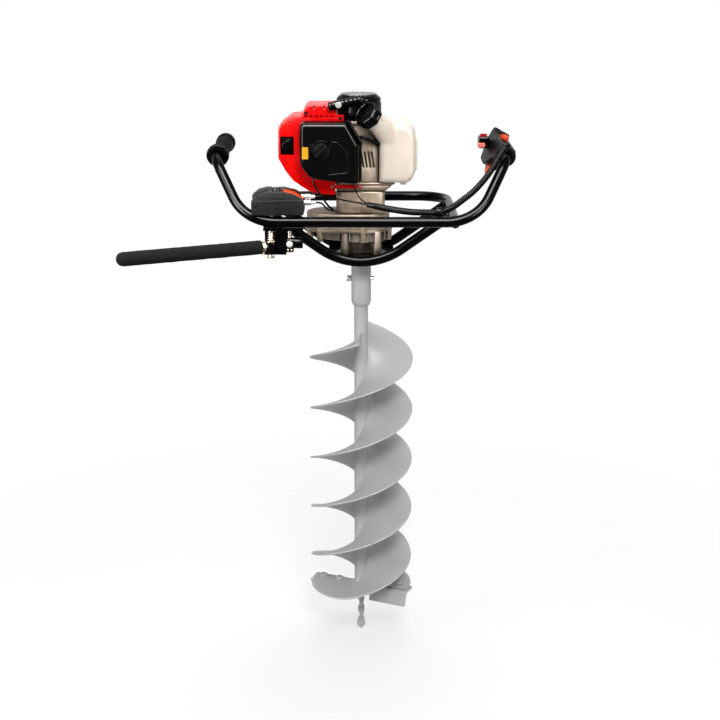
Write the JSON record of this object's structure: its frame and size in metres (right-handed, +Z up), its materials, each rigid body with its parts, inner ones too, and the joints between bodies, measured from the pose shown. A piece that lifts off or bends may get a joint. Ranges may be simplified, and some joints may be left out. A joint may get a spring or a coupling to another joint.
{
  "type": "earth_auger",
  "caption": "Two-hand petrol earth auger with a black tube frame, red engine cover, cast gearbox and a grey double-flight drilling bit",
  "frame": {"origin": "on the drilling axis, level with the two hand grips", "axes": "+Z up along the drilling axis, +X to the throttle hand, +Y away from the operator"},
  "size_m": [0.7038, 0.4558, 1.0765],
  "materials": {
    "black_paint": "gloss",
    "grey_paint": "satin",
    "cast_alloy": "cast",
    "steel": "satin",
    "red_plastic": "gloss",
    "black_gloss": "gloss",
    "black_matte": "matte",
    "rubber": "matte",
    "foam": "matte",
    "tank_plastic": "satin",
    "orange_plastic": "gloss"
  },
  "bodies": {
    "frame": {"handlebar_tube": "black_paint", "rear_frame_tube": "black_paint", "front_cradle_tube": "black_paint", "rear_cradle_tube": "black_paint", "mounting_plate": "black_paint", "left_grip": "rubber", "gearbox_lower_casing": "cast_alloy", "gearbox_upper_casing": "cast_alloy", "clutch_housing": "cast_alloy", "output_bearing": "steel", "crankcase": "cast_alloy", "engine_cylinder": "cast_alloy", "spark_plug": "steel", "plug_boot": "rubber", "engine_shroud": "red_plastic", "starter_housing": "black_gloss", "starter_disc": "steel", "filter_base": "black_matte", "filter_element": "foam", "filter_cover": "black_gloss", "carburettor": "cast_alloy", "muffler": "steel", "fuel_tank": "tank_plastic", "fuel_hose": "rubber", "handle_shell_outer": "black_matte", "handle_shell_inner": "black_matte", "handle_collar": "rubber", "switch_pod": "black_matte", "lever_bracket": "black_paint", "pivot_bolt": "steel", "return_spring": "steel", "cable_box": "black_gloss", "box_insert": "orange_plastic", "upper_adjuster": "steel", "lower_adjuster": "steel", "conduit": "black_matte", "conduit_clip": "black_matte", "brake_cable_upper": "black_matte", "brake_cable_lower": "black_matte", "throttle_cable": "black_matte"},
    "auger": {"output_gear_shaft": "steel", "auger_sleeve": "grey_paint", "cross_pin": "steel", "auger_bit": "grey_paint", "cutter_blade_left": "steel", "cutter_blade_right": "steel", "pilot_point": "steel"},
    "layshaft": {"layshaft_gears": "steel"},
    "clutch_drum_body": {"clutch_drum": "steel"},
    "crank": {"crankshaft_flywheel": "steel", "clutch_shoes": "steel"},
    "release_lever": {"lever_arm": "black_paint", "lever_foam": "foam"},
    "trigger": {"throttle_trigger": "orange_plastic"},
    "lock_lever": {"throttle_lock_lever": "orange_plastic"},
    "stop_rocker": {"stop_switch": "red_plastic"},
    "button": {"lock_button": "red_plastic"},
    "starter_grip": {"starter_handle": "black_matte"},
    "cap": {"fuel_cap": "black_matte"},
    "knob": {"filter_knob": "black_matte"}
  },
  "joints": [
    {"name": "auger_spin", "type": "hinge", "parent": "frame", "child": "auger", "pos_m": [0, 0, -0.187], "axis": [0, 0, -1], "continuous": true},
    {"name": "layshaft_spin", "type": "hinge", "parent": "frame", "child": "layshaft", "pos_m": [-0.054, 0, -0.139], "axis": [0, 0, -1], "continuous": true},
    {"name": "clutch_drum_spin", "type": "hinge", "parent": "frame", "child": "clutch_drum_body", "pos_m": [0, 0, -0.1144], "axis": [0, 0, -1], "continuous": true},
    {"name": "crank_spin", "type": "hinge", "parent": "frame", "child": "crank", "pos_m": [0, 0, 0.0526], "axis": [0, 0, -1], "continuous": true},
    {"name": "release_lever_swing", "type": "hinge", "parent": "frame", "child": "release_lever", "pos_m": [-0.1614, -0.157, -0.1506], "axis": [0, 0, -1], "range_deg": [0, 25], "stiffness_Nm_per_rad": 2},
    {"name": "throttle_pull", "type": "hinge", "parent": "frame", "child": "trigger", "pos_m": [0.24333, 0.02179, -0.01874], "axis": [-0.8619, -0.0975, 0.4976], "range_deg": [0, 8], "stiffness_Nm_per_rad": 0.5},
    {"name": "throttle_lock", "type": "hinge", "parent": "frame", "child": "lock_lever", "pos_m": [0.26498, 0.03876, 0.0221], "axis": [0.8619, 0.0975, -0.4976], "range_deg": [0, 6], "stiffness_Nm_per_rad": 0.2},
    {"name": "stop_rock", "type": "hinge", "parent": "frame", "child": "stop_rocker", "pos_m": [0.23, 0.03, 0.0245], "axis": [1, 0, 0], "range_deg": [0, 10]},
    {"name": "button_press", "type": "slide", "parent": "frame", "child": "button", "axis": [0, 1, 0], "range_m": [0, 0.002], "stiffness_N_per_m": 100},
    {"name": "starter_pull", "type": "slide", "parent": "frame", "child": "starter_grip", "axis": [0, -1, 0], "range_m": [0, 0.6], "stiffness_N_per_m": 20},
    {"name": "cap_turn", "type": "hinge", "parent": "frame", "child": "cap", "pos_m": [0.01881, -0.07254, 0.06869], "axis": [-0.6198, -0.5499, 0.5599], "range_deg": [0, 540]},
    {"name": "knob_turn", "type": "hinge", "parent": "frame", "child": "knob", "pos_m": [-0.071, -0.112, 0.0127], "axis": [0, 1, 0], "range_deg": [0, 90]}
  ],
  "couplings": [
    {"joint": "layshaft_spin", "follows": "auger_spin", "ratio": -4.4},
    {"joint": "clutch_drum_spin", "follows": "auger_spin", "ratio": 19.36}
  ]
}
